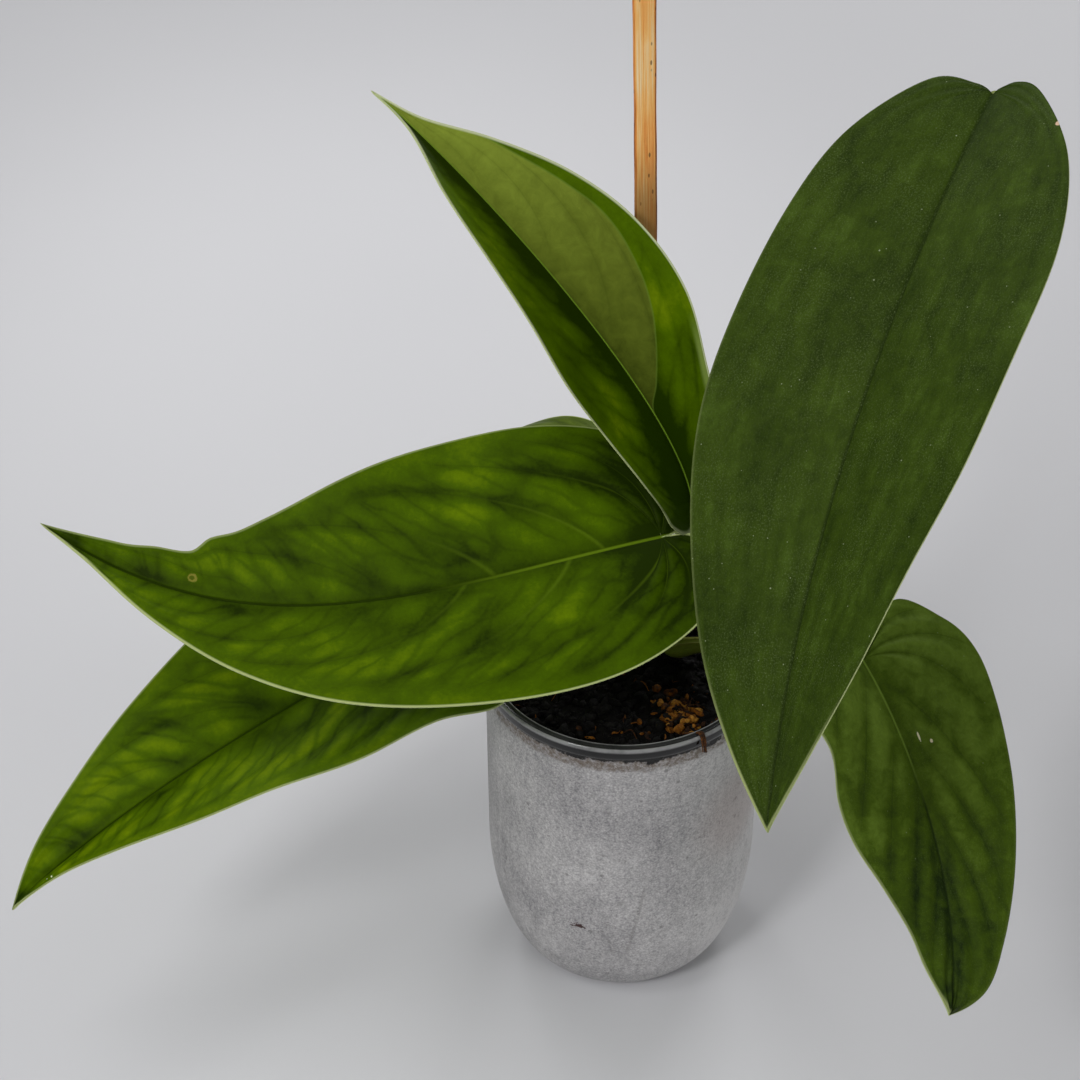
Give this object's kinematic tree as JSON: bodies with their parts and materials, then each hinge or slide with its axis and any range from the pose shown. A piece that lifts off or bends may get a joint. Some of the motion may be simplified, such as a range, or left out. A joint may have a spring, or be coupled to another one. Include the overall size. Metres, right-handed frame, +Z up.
{
  "type": "potted monstera obliqua",
  "caption": "Young climbing aroid with long pointed leaves on thin stalks, growing beside a flat bamboo cane in a round-bottomed clear plastic grow pot.",
  "frame": {"origin": "centre of the pot's flat foot, on the pot's axis", "axes": "+Z up along the pot's axis; the plant is seen from -Y, with the largest leaf hanging towards -Y at +X and the two long leaves reaching towards -X"},
  "size_m": [0.3004, 0.2033, 0.3681],
  "materials": {
    "pot": "clear plastic, fogged and dusty grey, glossy lip",
    "potting_mix": "damp dark bark and peat mix with rusty moss bits",
    "cane": "split bamboo, amber brown with fine long grain",
    "stem": "smooth olive green skin",
    "leaf_dark": "mature leaf, dark green, satin",
    "leaf_bright": "young leaf, bright mottled green, satin"
  },
  "bodies": {
    "root": {"pot": "pot", "potting_mix": "potting_mix", "cane": "cane", "stem": "stem", "stalk_a": "stem", "leaf_a": "leaf_dark", "stalk_b": "stem", "leaf_b": "leaf_bright", "stalk_c": "stem", "leaf_c": "leaf_bright", "stalk_d": "stem", "leaf_d": "leaf_bright", "stalk_e": "stem", "leaf_e": "leaf_dark", "stalk_f": "stem", "leaf_f": "leaf_dark"}
  },
  "joints": []
}
